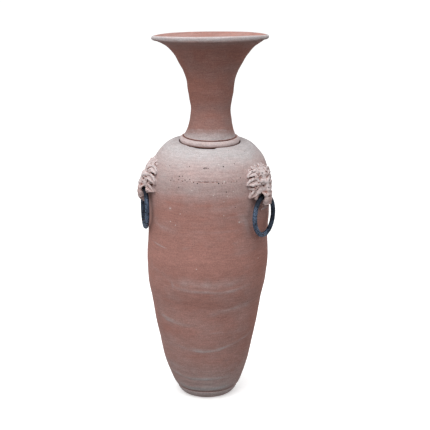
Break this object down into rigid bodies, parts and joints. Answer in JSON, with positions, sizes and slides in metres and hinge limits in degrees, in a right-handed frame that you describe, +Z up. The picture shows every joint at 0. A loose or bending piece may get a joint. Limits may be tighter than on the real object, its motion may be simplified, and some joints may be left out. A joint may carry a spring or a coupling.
{
  "type": "terracotta floor amphora",
  "caption": "Tall terracotta floor amphora with a flared trumpet neck standing on a collar ring, and lion masks at the shoulder whose mouths hold loose iron rings.",
  "frame": {"origin": "centre of the flat underside of the base slab, on the floor", "axes": "+Z up; the front of the vase faces -Y; +X to the right as seen from the front"},
  "size_m": [0.379, 0.3364, 1.0145],
  "materials": {
    "terracotta_body": "matte",
    "terracotta_neck": "matte",
    "terracotta_pale": "matte",
    "wrought_iron": "satin"
  },
  "bodies": {
    "vessel": {"base_slab": "terracotta_body", "lower_section": "terracotta_body", "belly_section": "terracotta_body", "shoulder_section": "terracotta_body", "lion_mask_left": "terracotta_pale", "lion_mask_right": "terracotta_pale"},
    "neck": {"trumpet_neck": "terracotta_neck", "collar_ring": "terracotta_pale"},
    "ring_left": {"iron_ring_left": "wrought_iron"},
    "ring_right": {"iron_ring_right": "wrought_iron"}
  },
  "joints": [
    {"name": "neck_lift", "type": "slide", "parent": "vessel", "child": "neck", "axis": [0, 0, 1], "range_m": [0, 0.09]},
    {"name": "ring_left_swing", "type": "hinge", "parent": "vessel", "child": "ring_left", "pos_m": [-0.16915, -0.02766, 0.5935], "axis": [-0.165, 0.9863, 0], "range_deg": [-1, 125]},
    {"name": "ring_right_swing", "type": "hinge", "parent": "vessel", "child": "ring_right", "pos_m": [0.15363, -0.09629, 0.588], "axis": [-0.5, -0.866, 0], "range_deg": [-3, 125]}
  ]
}
